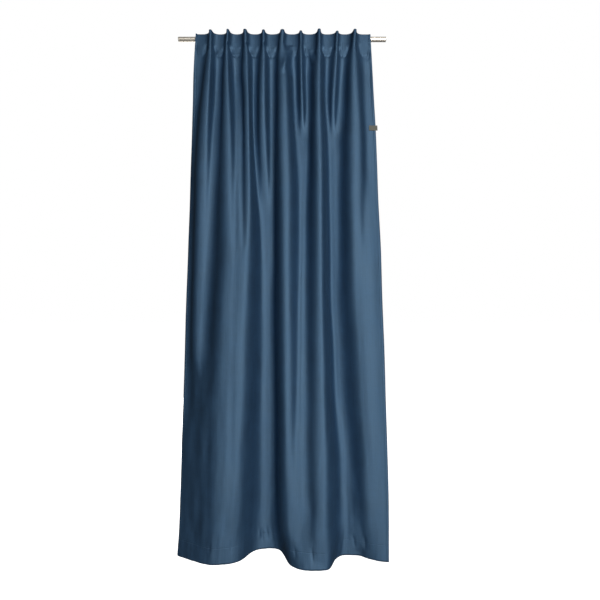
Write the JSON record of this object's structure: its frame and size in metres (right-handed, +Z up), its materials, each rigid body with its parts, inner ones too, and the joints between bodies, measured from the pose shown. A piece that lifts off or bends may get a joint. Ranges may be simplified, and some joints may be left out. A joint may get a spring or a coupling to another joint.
{
  "type": "curtain on rod",
  "caption": "Full-length cloth curtain with a gathered hidden-tab heading, hanging in soft uneven folds from a plain round rod.",
  "frame": {"origin": "on the rod's axis, half way along the rod", "axes": "+Z up, along the curtain's drop; +X along the rod to the viewer's right; the cloth's face looks along -Y"},
  "size_m": [1.0077, 0.1698, 2.5002],
  "materials": {
    "curtain_cloth": "blue dim-out cloth with a soft sheen",
    "rod_steel": "satin",
    "tab_webbing": "matt woven tape",
    "label_weave": "plain olive-grey woven ribbon"
  },
  "bodies": {
    "root": {"curtain_panel": "curtain_cloth", "rod": "rod_steel", "side_label": "label_weave", "tab_01": "tab_webbing", "tab_02": "tab_webbing", "tab_03": "tab_webbing", "tab_04": "tab_webbing", "tab_05": "tab_webbing", "tab_06": "tab_webbing", "tab_07": "tab_webbing", "tab_08": "tab_webbing", "tab_09": "tab_webbing", "tab_10": "tab_webbing"}
  },
  "joints": []
}
